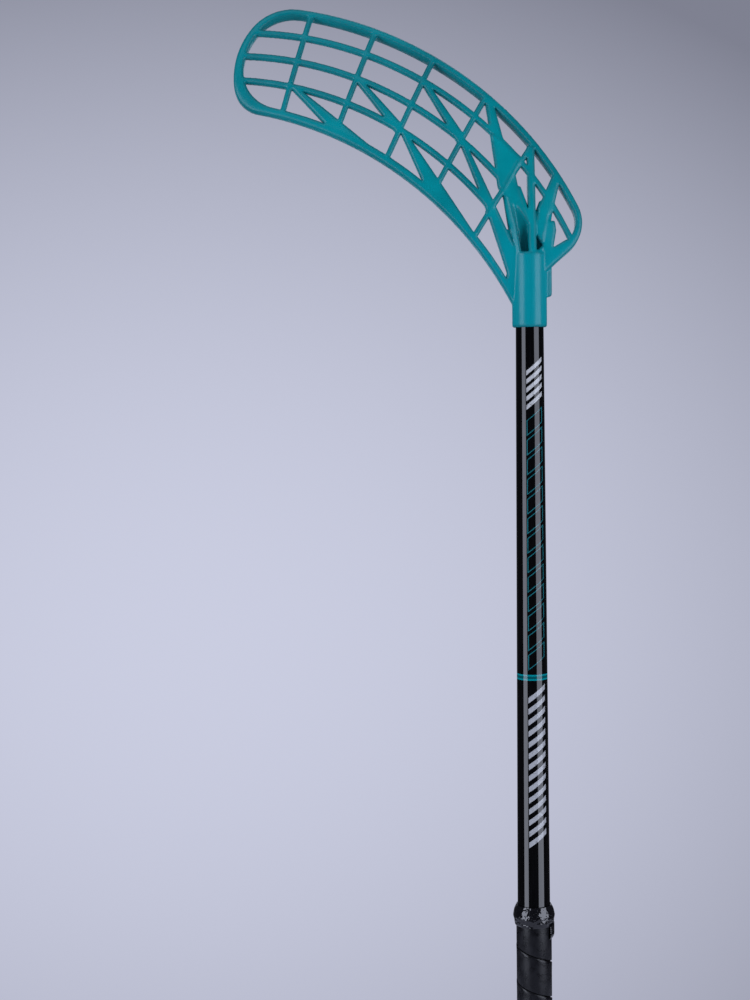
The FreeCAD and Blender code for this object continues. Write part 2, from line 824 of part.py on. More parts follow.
# Horns of the hosel
horn_foot = hosel_lip - z.hosel_overlap
leaf_middle = z.leaf_tip_depth * 0.5 - z.leaf_tip_front
heel_middle = z.heel_tip_depth * 0.5 - z.heel_tip_front
leaf_half = (z.leaf_tip_width * 0.5, z.leaf_tip_depth * 0.5)
leaf = horn(
    "leaf",
    foot_oval(horn_foot, on_axis, z.horn_radius),
    (hosel_foot + z.leaf_tip_height, (-z.leaf_tip_side, leaf_middle), leaf_half, z.horn_tip_corner),
)
heel_horn = horn(
    "heel_horn",
    foot_oval(horn_foot, z.heel_foot_side, z.horn_radius - z.heel_foot_side),
    (hosel_foot + z.heel_tip_height, (z.heel_tip_side, heel_middle),
     (z.heel_tip_width * 0.5, z.heel_tip_depth * 0.5), z.horn_tip_corner),
)

# Scoop: an opening seen from the front, cut back to a floor that slopes in to the lip
opening_body = body_named("scoop_opening")
padded(opening_body, "opening", "XZ_Plane", [
    (-z.scoop_head_side, hosel_foot + z.scoop_head),
    (-z.scoop_shoulder_side, hosel_foot + z.scoop_shoulder),
    (-z.scoop_foot_side, hosel_lip + z.scoop_lip * 2),
    (-z.scoop_lip_side, hosel_lip + z.scoop_lip),
    (z.scoop_lip_side, hosel_lip + z.scoop_lip),
    (z.scoop_corner_side, hosel_lip + z.scoop_corner),
], z.hosel_radius * 4)
slope_body = body_named("scoop_slope")
padded(slope_body, "slope", "YZ_Plane", [
    (-z.hosel_radius - z.overrun, hosel_foot + z.scoop_head),
    (-z.scoop_head_front, hosel_foot + z.scoop_head),
    (z.scoop_lip_back, hosel_lip),
    (-z.hosel_radius - z.overrun, hosel_lip),
], z.hosel_radius * 4)
scoop = boolean("Common", "scoop", opening_body, slope_body)

# Spine: the gusset that rises from the floor edge to the front of the hosel
spine_body = body_named("spine")
padded(spine_body, "spine_web", "YZ_Plane", [
    (z.spine_head_front, hosel_foot + z.spine_head),
    (-z.spine_foot_front, hosel_foot + z.spine_foot),
    (z.spine_foot_back, hosel_foot + z.spine_foot),
    (z.spine_head_back, hosel_foot + z.spine_head),
], z.spine_width)
bind(spine_body, Placement__Base__x=z.spine_side)

# Flank: the gusset that joins the lattice to the toe side of the hosel
flank_body = body_named("flank")
padded(flank_body, "flank_web", "XZ_Plane", [
    (-z.flank_head_reach, hosel_foot + z.flank_head),
    (-z.flank_bend_reach, hosel_foot + z.flank_bend),
    (-z.flank_toe_reach, hosel_foot + z.flank_toe),
    (z.overrun - bore_radius, hosel_foot + z.flank_foot),
    (z.overrun - bore_radius, hosel_foot + z.flank_head),
], z.flank_thickness)

# Fin: the flange that runs down the heel side of the hosel
fin_body = body_named("fin")
fin = padded(fin_body, "fin_web", "XZ_Plane", [
    (bore_radius - z.overrun, hosel_foot + z.fin_foot),
    (z.fin_reach, hosel_foot + z.fin_foot),
    (z.fin_reach, hosel_foot + z.fin_head),
    (bore_radius - z.overrun, hosel_foot + z.fin_head),
], z.fin_thickness)


def fin_corner(edge):
    """Tell whether an edge is the fin's free lower corner."""
    box = edge.BoundBox
    low = abs(box.ZMax - hosel_foot.value - z.fin_foot.value) < z.fit_clearance.value
    return low and abs(box.XMin - z.fin_reach.value) < z.fit_clearance.value


rounded(fin_body, "fin_round", fin, z.fin_round, fin_corner)

# Bore for the shaft, and the holes and flats for the two screws on the forehand side
bore = doc.addObject("Part::Cylinder", "shaft_bore")
bind(bore, Radius=bore_radius, Height=z.hosel_bore_depth + z.overrun)
bind(bore, Placement__Base__z=hosel_foot - z.overrun)
screw_heights = {
    "lower_blade_screw": hosel_foot + z.screw_first_height,
    "upper_blade_screw": hosel_foot + z.screw_first_height + z.screw_pitch,
}
screw_seat = z.hosel_radius - z.screw_spot_depth
TO_BACK = Rotation(Vector(1, 0, 0), -90)


def drill(name, radius, depth, height, start):
    """Return a cylinder that runs to the forehand side from a distance off the axis."""
    tool = doc.addObject("Part::Cylinder", name)
    tool.Placement = Placement(Vector(0, 0, 0), TO_BACK)
    bind(tool, Radius=radius, Height=depth, Placement__Base__y=start, Placement__Base__z=height)
    return tool


cuts = [bore]
for name, height in screw_heights.items():
    cuts.append(drill(name + "_hole", z.screw_radius + z.fit_clearance, z.hosel_radius, height, Size.of(0)))
    flat_radius = z.screw_head_radius + z.screw_spot_margin
    cuts.append(drill(name + "_flat", flat_radius, z.hosel_radius, height, screw_seat))

horns = fused("horns", [hosel_body, leaf, heel_horn])
hollow = boolean("Cut", "scooped_horns", horns, scoop)
blade = fused("blade_blank", [rim, ribs, hollow, spine_body, flank_body, fin_body])
for tool in cuts:
    blade = boolean("Cut", "blade_less_" + tool.Name, blade, tool)
blade.Label = "blade"

# Screw holes through the shaft's wall on the same side
hole_sketch = shaft_body.newObject("Sketcher::SketchObject", "screw_hole_profile")
hole_sketch.AttachmentSupport = (origin_part(shaft_body, "XZ_Plane"), [""])
hole_sketch.MapMode = "FlatFace"
for index, height in enumerate(screw_heights.values()):
    radius = z.screw_radius + z.fit_clearance
    hole_sketch.addGeometry(Part.Circle(Vector(0, height.value, 0), Vector(0, 0, 1), radius.value), False)
    size = hole_sketch.addConstraint(Sketcher.Constraint("Radius", index, radius.value))
    hole_sketch.setExpression("Constraints[%d]" % size, radius.text)
    pin_point(hole_sketch, index, 3, (0, height))
screw_holes = shaft_body.newObject("PartDesign::Pocket", "screw_holes")
screw_holes.Profile = hole_sketch
bind(screw_holes, Length=z.shaft_butt_radius)


def screw_body(name, height):
    """Return a pan-head screw that stands on its flat, point toward the shaft's axis."""
    body = body_named(name)
    half = z.screw_recess_length * 0.5
    slot = z.screw_recess_width * 0.5
    turned(body, name + "_turned", [
        (0, -z.screw_length),
        (z.screw_radius, -z.screw_length + z.screw_radius),
        (z.screw_radius, z.fit_clearance),
        (z.screw_head_radius, z.fit_clearance),
        (z.screw_head_radius, z.screw_head_height * 0.5),
        (half, z.screw_head_height),
        (0, z.screw_head_height),
    ])
    cross = profile(body, name + "_recess_profile", "XY_Plane", [
        (half, -slot), (half, slot), (slot, slot), (slot, half), (-slot, half), (-slot, slot),
        (-half, slot), (-half, -slot), (-slot, -slot), (-slot, -half), (slot, -half), (slot, -slot),
    ])
    recess = body.newObject("PartDesign::Pocket", name + "_recess")
    recess.Profile = cross
    recess.Reversed = True
    bind(cross, AttachmentOffset__Base__z=z.screw_head_height - z.screw_recess_depth)
    bind(recess, Length=z.screw_recess_depth + z.overrun)
    body.Placement = Placement(Vector(0, 0, 0), TO_BACK)
    bind(body, Placement__Base__y=screw_seat, Placement__Base__z=height)
    return body


for name, height in screw_heights.items():
    screw_body(name, height)
doc.recompute()

PARTS = (
    "blade",
    "shaft_tube",
    "upper_blade_screw",
    "lower_blade_screw",
    "end_plug",
    "grip_band",
    "finishing_tape",
)


def report_faults():
    """Stop with a message when an object of the document failed."""
    for item in doc.Objects:
        if "Invalid" in item.State or "Error" in item.State:
            raise RuntimeError("%s: %s" % (item.Name, item.State))


report_faults()
os.makedirs("parts", exist_ok=True)
for label in PARTS:
    item = doc.getObjectsByLabel(label)[0]
    shape = item.Shape
    print(label, "valid", shape.isValid(), "solids", len(shape.Solids), "volume", round(shape.Volume))
    shape.exportStep("parts/%s.step" % label)
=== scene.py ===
"""Looks of a floorball stick: an openwork blade on a lacquered shaft with a wound grip band.

Lengths are in metres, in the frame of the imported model: +Z along the shaft from the butt end to the
blade, +X to the blade's heel and -Y to the side that the camera sees.
"""

import json
import logging
import math
from dataclasses import dataclass
from enum import Enum
from typing import Dict, List, Sequence, Tuple, Union

import bmesh
import bpy
import numpy as np
from mathutils import Matrix, Vector, noise
from mathutils.bvhtree import BVHTree

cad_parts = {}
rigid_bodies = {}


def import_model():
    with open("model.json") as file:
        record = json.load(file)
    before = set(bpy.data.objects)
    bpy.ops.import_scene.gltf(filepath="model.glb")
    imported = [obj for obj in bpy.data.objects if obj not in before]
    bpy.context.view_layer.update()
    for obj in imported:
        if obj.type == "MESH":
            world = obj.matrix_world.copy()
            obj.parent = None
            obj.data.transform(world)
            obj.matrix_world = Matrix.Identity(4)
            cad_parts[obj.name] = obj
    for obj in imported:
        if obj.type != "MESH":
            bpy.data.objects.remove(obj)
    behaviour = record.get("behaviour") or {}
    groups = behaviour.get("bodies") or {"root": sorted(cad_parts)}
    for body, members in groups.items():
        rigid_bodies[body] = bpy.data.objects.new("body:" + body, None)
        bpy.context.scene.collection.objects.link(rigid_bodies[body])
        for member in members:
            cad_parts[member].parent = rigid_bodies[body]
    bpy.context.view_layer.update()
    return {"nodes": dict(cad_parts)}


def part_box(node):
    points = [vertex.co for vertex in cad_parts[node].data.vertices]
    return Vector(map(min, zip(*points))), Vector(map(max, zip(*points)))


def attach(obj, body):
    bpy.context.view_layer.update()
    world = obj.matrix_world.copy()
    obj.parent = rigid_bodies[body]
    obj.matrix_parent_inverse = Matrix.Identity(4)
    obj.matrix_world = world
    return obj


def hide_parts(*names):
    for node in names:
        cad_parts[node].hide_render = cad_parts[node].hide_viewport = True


LOG = logging.getLogger("floorball_stick")

Socket = bpy.types.NodeSocket
Value = Union[float, Socket]
Colour = Tuple[float, float, float]
Triple = Tuple[float, float, float]
Range = Tuple[float, float]
Profile = Sequence[Tuple[float, float]]

# A length below TINY counts as nothing, and soft noise lies mostly in MIDDLE.
TINY = 1e-6
EVEN: Triple = (1.0, 1.0, 1.0)
UNIT: Range = (0.0, 1.0)
REVERSED_UNIT: Range = (1.0, 0.0)
MIDDLE: Range = (0.3, 0.7)


class Body(Enum):
    """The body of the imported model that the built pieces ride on."""

    STICK = "stick"


class Slot(Enum):
    """The record's material slots of the pieces that are built here."""

    BLADE = "blade_plastic"
    SHAFT = "shaft_lacquer"
    GRIP = "grip_foam"
    TAPE = "tape_vinyl"


class Sum(Enum):
    """The sums that a material's math nodes do."""

    ADD = "ADD"
    TAKE = "SUBTRACT"
    TIMES = "MULTIPLY"
    OVER = "DIVIDE"
    FRACTION = "FRACT"
    SIZE = "ABSOLUTE"
    LESS = "LESS_THAN"
    MORE = "GREATER_THAN"
    GREATEST = "MAXIMUM"
    ANGLE = "ARCTAN2"


class Graph:
    """A node tree that is built by short calls, each of which returns an output socket."""

    def __init__(self, tree: bpy.types.NodeTree) -> None:
        """Start from an empty tree.

        Args:
            tree: The node tree of a material or of the world.
        """
        self.tree = tree
        self.tree.nodes.clear()

    def add(self, kind: str) -> bpy.types.Node:
        """Return a new node of a kind."""
        return self.tree.nodes.new(kind)

    def feed(self, socket: Socket, value: Value) -> None:
        """Link a socket to another one, or set its number.

        Args:
            socket: The input that takes the value.
            value: A number, or the output that is linked.
        """
        if isinstance(value, bpy.types.NodeSocket):
            self.tree.links.new(value, socket)
        else:
            socket.default_value = value

    def sum(self, kind: Sum, *values: Value) -> Socket:
        """Return the result of a sum.

        Args:
            kind: The sum.
            values: Its numbers or sockets, in order.

        Returns:
            The result's socket.
        """
        node = self.add("ShaderNodeMath")
        node.operation = kind.value
        for index, value in enumerate(values):
            self.feed(node.inputs[index], value)
        return node.outputs["Value"]

    def place(self) -> Socket:
        """Return the place on the piece, in metres."""
        return self.add("ShaderNodeTexCoord").outputs["Object"]

    def axes(self) -> Tuple[Socket, Socket, Socket]:
        """Return the three coordinates of the place on the piece."""
        node = self.add("ShaderNodeSeparateXYZ")
        self.feed(node.inputs[0], self.place())
        return node.outputs[0], node.outputs[1], node.outputs[2]

    def stretched(self, factors: Triple) -> Socket:
        """Return the place on the piece, stretched along each axis.

        Args:
            factors: How many times finer a pattern gets along X, Y and Z.

        Returns:
            The stretched place.
        """
        node = self.add("ShaderNodeMapping")
        self.feed(node.inputs["Vector"], self.place())
        node.inputs["Scale"].default_value = factors
        return node.outputs["Vector"]

    def noise(self, where: Socket, scale: float, detail: float = 3.0) -> Socket:
        """Return soft noise between 0 and 1.

        Args:
            where: The place that the noise is read at.
            scale: Spots per metre.
            detail: Octaves of finer spots.

        Returns:
            The noise's value.
        """
        node = self.add("ShaderNodeTexNoise")
        self.feed(node.inputs["Vector"], where)
        node.inputs["Scale"].default_value = scale
        node.inputs["Detail"].default_value = detail
        return node.outputs[0]

    def pits(self, where: Socket, scale: float) -> Socket:
        """Return the distance to scattered points, for pores.

        Args:
            where: The place that the distance is read at.
            scale: Points per metre.

        Returns:
            The distance, 0 at a point.
        """
        node = self.add("ShaderNodeTexVoronoi")
        self.feed(node.inputs["Vector"], where)
        node.inputs["Scale"].default_value = scale
        return node.outputs["Distance"]

    def span(self, value: Value, source: Range, target: Range) -> Socket:
        """Return a value carried from one range to another and held inside it.

        Args:
            value: The value.
            source: The range that it comes from.
            target: The range that it goes to.

        Returns:
            The carried value.
        """
        node = self.add("ShaderNodeMapRange")
        self.feed(node.inputs["Value"], value)
        node.inputs["From Min"].default_value = source[0]
        node.inputs["From Max"].default_value = source[1]
        node.inputs["To Min"].default_value = target[0]
        node.inputs["To Max"].default_value = target[1]
        return node.outputs["Result"]

    def between(self, value: Value, low: float, high: float) -> Socket:
        """Return 1 where a value lies between two numbers, and 0 elsewhere."""
        over = self.sum(Sum.MORE, value, low)
        return self.sum(Sum.TIMES, over, self.sum(Sum.LESS, value, high))

    def mix(self, share: Value, first: Union[Colour, Socket], second: Union[Colour, Socket]) -> Socket:
        """Return a blend of two colours.

        Args:
            share: 0 for the first colour and 1 for the second.
            first: A colour or its socket.
            second: A colour or its socket.

        Returns:
            The blended colour.
        """
        node = self.add("ShaderNodeMix")
        node.data_type = "RGBA"
        self.feed(node.inputs["Factor"], share)
        for socket, colour in ((node.inputs[6], first), (node.inputs[7], second)):
            self.feed(socket, colour if isinstance(colour, bpy.types.NodeSocket) else (*colour, 1.0))
        return node.outputs[2]

    def bump(self, height: Socket, distance: float) -> Socket:
        """Return the normal of a surface that a height roughens.

        Args:
            height: The height, about 0 to 1.
            distance: How far a height of 1 stands out, in metres.

        Returns:
            The bent normal.
        """
        node = self.add("ShaderNodeBump")
        node.inputs["Distance"].default_value = distance
        self.feed(node.inputs["Height"], height)
        return node.outputs["Normal"]

    def attribute(self, name: str) -> Socket:
        """Return the value of a mesh's own attribute."""
        node = self.add("ShaderNodeAttribute")
        node.attribute_name = name
        return node.outputs["Fac"]


class Surface(Graph):
    """The node tree of one material, with its shader in place."""

    def __init__(self, name: str) -> None:
        """Make a material with a principled shader.

        Args:
            name: The material's name.
        """
        self.material = bpy.data.materials.new(name)
        self.material.use_nodes = True
        super().__init__(self.material.node_tree)
        self.shader = self.add("ShaderNodeBsdfPrincipled")
        output = self.add("ShaderNodeOutputMaterial")
        self.feed(output.inputs["Surface"], self.shader.outputs["BSDF"])

    def paint(self, **inputs: Union[Value, Colour]) -> None:
        """Set or link inputs of the shader, whose names have _ for a space."""
        for name, value in inputs.items():
            socket = self.shader.inputs[name.replace("_", " ")]
            if isinstance(value, tuple):
                value = (*value, 1.0)
            self.feed(socket, value)


@dataclass(frozen=True)
class Spots:
    """Soft noise of a finish: its spots per metre, its octaves and how it is stretched along X, Y and Z."""

    scale: float
    detail: float
    stretch: Triple = EVEN

    def on(self, surface: Surface) -> Socket:
        """Return the noise's value on a material."""
        where = surface.place() if self.stretch == EVEN else surface.stretched(self.stretch)
        return surface.noise(where, self.scale, self.detail)


@dataclass(frozen=True)
class BladePlastic:
    """Moulded teal plastic, semi-gloss, with painted shade along its edges and painted light that makes the
    socket paler.
    """

    tone: Colour = (0.0, 0.300, 0.328)
    deep_tone: Colour = (0.0, 0.236, 0.262)
    socket_lit_tone: Colour = (0.0, 0.300, 0.345)
    edge_shade_tone: Colour = (0.0, 0.072, 0.087)
    edge_shade_attribute: str = "edge"
    edge_shade_cover: Range = (0.0, 0.90)
    socket_light_fade: Range = (0.925, 0.965)
    cloud: Spots = Spots(28.0, 5.0)
    cloud_span: Range = (0.35, 0.65)
    flow: Spots = Spots(260.0, 4.0, (1.0, 1.0, 0.18))
    grain: Spots = Spots(1500.0, 2.0)
    grain_share: float = 0.35
    relief: float = 0.00002
    roughness: Range = (0.17, 0.27)
    edge_roughness: float = 0.40
    shine: float = 0.24

    def build(self) -> bpy.types.Material:
        """Return the material."""
        surface = Surface("moulded_plastic")
        cloud = self.cloud.on(surface)
        flow = self.flow.on(surface)
        grain = self.grain.on(surface)
        tone = surface.mix(surface.span(cloud, self.cloud_span, UNIT), self.deep_tone, self.tone)
        # Painted light: the socket is painted paler, to stand for the extra light that it catches.
        socket_light_share = surface.span(surface.axes()[2], self.socket_light_fade, REVERSED_UNIT)
        tone = surface.mix(socket_light_share, tone, self.socket_lit_tone)
        # Painted shade: points that stand out along the edges are darkened toward the edge shade tone.
        edge = surface.attribute(self.edge_shade_attribute)
        tone = surface.mix(surface.span(edge, UNIT, self.edge_shade_cover), tone, self.edge_shade_tone)
        height = surface.sum(Sum.ADD, flow, surface.sum(Sum.TIMES, grain, self.grain_share))
        surface.paint(
            Base_Color=tone,
            Roughness=surface.sum(Sum.ADD, surface.span(flow, MIDDLE, self.roughness),
                                  surface.sum(Sum.TIMES, edge, self.edge_roughness)),
            Normal=surface.bump(height, self.relief),
            Specular_IOR_Level=self.shine,
        )
        return surface.material


@dataclass(frozen=True)
class PrintZone:
    """A stretch of the shaft's print: slanted bars in a row along the shaft.

    Heights run along the shaft. A hollow bar shows only its outline.
    """

    foot: float
    head: float
    pitch: float
    bar_share: float
    colour: Colour
    outline: float = 0.0


@dataclass(frozen=True)
class ShaftLacquer:
    """Black clear-coated composite with a ring and a print of plain slanted bars."""

    black: Colour = (0.0016, 0.0016, 0.0019)
    teal: Colour = (0.0, 0.245, 0.275)
    deep_teal: Colour = (0.0, 0.085, 0.095)
    ring_height: float = 0.610
    ring_half: float = 0.0022
    ring_core: float = 0.0010
    print_angle: float = math.radians(14.0)
    print_half_angle: float = math.radians(34.0)
    print_halves_per_metre: float = 147.0
    slant: float = 0.0052
    weave: Spots = Spots(900.0, 3.0, (1.0, 1.0, 0.04))
    weave_span: Range = (0.4, 0.7)
    weave_gain: float = 1.9
    wear: Spots = Spots(420.0, 4.0)
    wear_span: Range = (0.30, 0.42)
    worn_cover: Range = (0.55, 1.0)
    roughness: Range = (0.34, 0.46)
    coat_roughness: float = 0.03
    relief: float = 0.00002
    zones: Tuple[PrintZone, ...] = (
        PrintZone(0.483, 0.602, 0.0085, 0.50, (0.40, 0.41, 0.43)),
        PrintZone(0.619, 0.810, 0.0147, 0.78, (0.015, 0.17, 0.195), 0.0007),
        PrintZone(0.815, 0.847, 0.0064, 0.55, (0.52, 0.53, 0.54)),
    )

    def bars(self, surface: Surface, zone: PrintZone, height: Socket, across: Socket) -> Socket:
        """Return where a zone's bars are.

        Args:
            surface: The material's graph.
            zone: The stretch of print.
            height: Height along the shaft.
            across: Place across the print, -1 to 1.

        Returns:
            1 on a bar and 0 elsewhere.
        """
        slanted = surface.sum(Sum.TAKE, height, surface.sum(Sum.TIMES, across, self.slant))
        turn = surface.sum(Sum.OVER, surface.sum(Sum.TAKE, slanted, zone.foot), zone.pitch)
        off = surface.sum(Sum.SIZE, surface.sum(Sum.TAKE, surface.sum(Sum.FRACTION, turn), 0.5))
        length = surface.sum(Sum.TIMES, off, zone.pitch)
        side = surface.sum(Sum.SIZE, across)
        half = zone.pitch * zone.bar_share / 2
        within = surface.sum(Sum.LESS, length, half)
        bar = surface.sum(Sum.TIMES, within, surface.sum(Sum.LESS, side, 1.0))
        if zone.outline:
            inner_length = surface.sum(Sum.LESS, length, half - zone.outline)
            inner_side = surface.sum(Sum.LESS, side, 1.0 - zone.outline * self.print_halves_per_metre)
            inner = surface.sum(Sum.TIMES, inner_length, inner_side)
            bar = surface.sum(Sum.TAKE, bar, inner)
        return surface.sum(Sum.TIMES, bar, surface.between(slanted, zone.foot, zone.head))

    def build(self) -> bpy.types.Material:
        """Return the material."""
        surface = Surface("shaft_lacquer")
        x, y, height = surface.axes()
        angle = surface.sum(Sum.ANGLE, x, surface.sum(Sum.TIMES, y, -1.0))
        from_print = surface.sum(Sum.TAKE, angle, self.print_angle)
        across = surface.sum(Sum.OVER, from_print, self.print_half_angle)
        weave = self.weave.on(surface)
        wear = self.wear.on(surface)
        lifted = tuple(part * self.weave_gain for part in self.black)
        tone = surface.mix(surface.span(weave, self.weave_span, UNIT), self.black, lifted)
        speckle = surface.span(wear, self.wear_span, self.worn_cover)
        for zone in self.zones:
            bars = self.bars(surface, zone, height, across)
            tone = surface.mix(surface.sum(Sum.TIMES, bars, speckle), tone, zone.colour)
        from_ring = surface.sum(Sum.SIZE, surface.sum(Sum.TAKE, height, self.ring_height))
        tone = surface.mix(surface.sum(Sum.LESS, from_ring, self.ring_half), tone, self.teal)
        tone = surface.mix(surface.sum(Sum.LESS, from_ring, self.ring_core), tone, self.deep_teal)
        surface.paint(
            Base_Color=tone,
            Roughness=surface.span(wear, MIDDLE, self.roughness),
            Specular_IOR_Level=0.0,
            Coat_Weight=1.0,
            Coat_Roughness=self.coat_roughness,
            Normal=surface.bump(weave, self.relief),
        )
        return surface.material


@dataclass(frozen=True)
class GripFoam:
    """Soft black grip band with a satin skin, fine pores and stretch lines."""

    tone: Colour = (0.0024, 0.0024, 0.0034)
    dusty_tone: Colour = (0.0075, 0.0076, 0.0100)
    dust: Spots = Spots(160.0, 5.0)
    dust_span: Range = (0.35, 0.7)
    pores_per_metre: float = 900.0
    pore_span: Range = (0.0, 0.35)
    skin: Spots = Spots(700.0, 4.0, (1.0, 1.0, 0.35))
    skin_share: float = 0.8
    relief: float = 0.00004
    rough_span: Range = (0.35, 0.65)
    roughness: Range = (0.22, 0.40)
    shine: float = 0.34

    def build(self) -> bpy.types.Material:
        """Return the material."""
        surface = Surface("grip_foam")
        dust = self.dust.on(surface)
        pores = surface.span(surface.pits(surface.place(), self.pores_per_metre), self.pore_span, UNIT)
        skin = self.skin.on(surface)
        height = surface.sum(Sum.ADD, pores, surface.sum(Sum.TIMES, skin, self.skin_share))
        surface.paint(
            Base_Color=surface.mix(surface.span(dust, self.dust_span, UNIT), self.tone, self.dusty_tone),
            Roughness=surface.span(dust, self.rough_span, self.roughness),
            Normal=surface.bump(height, self.relief),
            Specular_IOR_Level=self.shine,
        )
        return surface.material


@dataclass(frozen=True)
class TapeVinyl:
    """Glossy black tape, drawn tight and creased."""

    tone: Colour = (0.0030, 0.0030, 0.0042)
    worn_tone: Colour = (0.0080, 0.0080, 0.0100)
    crease: Spots = Spots(320.0, 1.0, (1.0, 1.0, 1.5))
    fine: Spots = Spots(1100.0, 3.0)
    fine_span: Range = (0.4, 0.7)
    fine_share: float = 0.04
    relief: float = 0.0007
    roughness: Range = (0.07, 0.13)
    shine: float = 0.75

    def build(self) -> bpy.types.Material:
        """Return the material."""
        surface = Surface("tape_vinyl")
        crease = self.crease.on(surface)
        fine = self.fine.on(surface)
        height = surface.sum(Sum.ADD, crease, surface.sum(Sum.TIMES, fine, self.fine_share))
        surface.paint(
            Base_Color=surface.mix(surface.span(fine, self.fine_span, UNIT), self.tone, self.worn_tone),
            Roughness=surface.span(fine, MIDDLE, self.roughness),
            Normal=surface.bump(height, self.relief),
            Specular_IOR_Level=self.shine,
        )
        return surface.material


@dataclass(frozen=True)
class PlugRubber:
    """Matte black rubber with a faint grain."""

    tone: Colour = (0.012, 0.012, 0.012)
    scuffed_tone: Colour = (0.035, 0.034, 0.033)
    scuff: Spots = Spots(210.0, 6.0)
    scuff_span: Range = (0.45, 0.75)
    grain: Spots = Spots(1600.0, 2.0)
    relief: float = 0.00006
    roughness: Range = (0.62, 0.80)

    def build(self) -> bpy.types.Material:
        """Return the material."""
        surface = Surface("plug_rubber")
        scuff = self.scuff.on(surface)
        grain = self.grain.on(surface)
        surface.paint(
            Base_Color=surface.mix(surface.span(scuff, self.scuff_span, UNIT), self.tone, self.scuffed_tone),
            Roughness=surface.span(scuff, MIDDLE, self.roughness),
            Normal=surface.bump(grain, self.relief),
        )
        return surface.material


@dataclass(frozen=True)
class ScrewSteel:
    """Zinc-plated steel with fine turning marks."""

    tone: Colour = (0.52, 0.53, 0.55)
    dull_tone: Colour = (0.34, 0.34, 0.35)
    marks: Spots = Spots(2600.0, 3.0, (1.0, 0.2, 1.0))
    cloud: Spots = Spots(500.0, 3.0)
    cloud_span: Range = (0.35, 0.7)
    relief: float = 0.00003
    roughness: Range = (0.24, 0.40)

    def build(self) -> bpy.types.Material:
        """Return the material."""
        surface = Surface("screw_steel")
        marks = self.marks.on(surface)
        cloud = self.cloud.on(surface)
        surface.paint(
            Base_Color=surface.mix(surface.span(cloud, self.cloud_span, UNIT), self.tone, self.dull_tone),
            Metallic=1.0,
            Roughness=surface.span(marks, MIDDLE, self.roughness),
            Normal=surface.bump(marks, self.relief),
        )
        return surface.material


class Workshop:
    """Small tools that the sub-assemblies share to make, finish and hand over meshes."""

    sharp_angle: float = math.radians(38.0)

    @staticmethod
    def lathe(outline: Profile, steps: int) -> bmesh.types.BMesh:
        """Return a closed outline turned about the shaft's axis.

        Args:
            outline: Radius and height of each corner, in order round the outline.
            steps: Faces round the axis.

        Returns:
            The turned mesh.
        """
        mesh = bmesh.new()
        corners = [mesh.verts.new((radius, 0.0, height)) for radius, height in outline]
        edges = [mesh.edges.new((a, b)) for a, b in zip(corners, corners[1:] + corners[:1])]
        bmesh.ops.spin(mesh, geom=corners + edges, cent=(0, 0, 0), axis=(0, 0, 1), angle=math.tau,
                       steps=steps, use_merge=True)
        bmesh.ops.remove_doubles(mesh, verts=mesh.verts, dist=TINY)
        bmesh.ops.recalc_face_normals(mesh, faces=mesh.faces)
        return mesh

    @classmethod
    def shade(cls, mesh: bmesh.types.BMesh) -> None:
        """Shade a mesh smooth, except over its sharp edges."""
        for face in mesh.faces:
            face.smooth = True
        for edge in mesh.edges:
            edge.smooth = not edge.is_manifold or edge.calc_face_angle(0.0) < cls.sharp_angle

    @staticmethod
    def put(name: str, mesh: bmesh.types.BMesh) -> bpy.types.Object:
        """Return an object in the scene that holds a finished mesh.

        Args:
            name: The object's name.
            mesh: The mesh, which is freed.

        Returns:
            The object, at the origin.
        """
        data = bpy.data.meshes.new(name)
        mesh.to_mesh(data)
        mesh.free()
        piece = bpy.data.objects.new(name, data)
        bpy.context.scene.collection.objects.link(piece)
        return piece

    @staticmethod
    def settle(piece: bpy.types.Object) -> None:
        """Make the result of a piece's modifiers its mesh, and take the modifiers off."""
        bpy.context.view_layer.update()
        graph = bpy.context.evaluated_depsgraph_get()
        data = bpy.data.meshes.new_from_object(piece.evaluated_get(graph))
        piece.modifiers.clear()
        spare = piece.data
        piece.data = data
        data.name = piece.name
        bpy.data.meshes.remove(spare)

    @classmethod
    def carve(cls, piece: bpy.types.Object, cutters: Sequence[bpy.types.Object]) -> None:
        """Cut closed shapes out of a piece.

        Args:
            piece: The piece that is cut.
            cutters: The shapes, which are removed afterwards.
        """
        for cutter in cutters:
            modifier = piece.modifiers.new("carve", "BOOLEAN")
            modifier.operation = "DIFFERENCE"
            modifier.solver = "EXACT"
            modifier.object = cutter
        cls.settle(piece)
        for cutter in cutters:
            bpy.data.objects.remove(cutter)

    @staticmethod
    def add_rod(mesh: bmesh.types.BMesh, radius: float, start: Vector, end: Vector, segments: int) -> None:
        """Add a closed rod between two points to a mesh.

        Args:
            mesh: The mesh that takes it.
            radius: The rod's radius.
            start: The middle of one end.
            end: The middle of the other end.
            segments: Faces round the rod.
        """
        run = end - start
        turn = Vector((0, 0, 1)).rotation_difference(run).to_matrix().to_4x4()
        bmesh.ops.create_cone(mesh, cap_ends=True, segments=segments, radius1=radius, radius2=radius,
                              depth=run.length, matrix=Matrix.Translation((start + end) / 2) @ turn)

    @classmethod
    def rod(cls, radius: float, start: Vector, end: Vector, segments: int = 48) -> bpy.types.Object:
        """Return a closed rod between two points, for use as a cutter."""
        mesh = bmesh.new()
        cls.add_rod(mesh, radius, start, end, segments)
        return cls.put("cutter", mesh)

    @staticmethod
    def hand_over(piece: bpy.types.Object, finish: bpy.types.Material, body: Body, slot: Slot,
                  node: str) -> None:
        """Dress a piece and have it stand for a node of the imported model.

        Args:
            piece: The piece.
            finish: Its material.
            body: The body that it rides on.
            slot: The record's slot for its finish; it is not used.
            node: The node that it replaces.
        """
        piece.data.materials.clear()
        piece.data.materials.append(finish)
        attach(piece, body.value)
        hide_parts(node)
        LOG.info("%s stands for %s with %d faces", piece.name, node, len(piece.data.polygons))


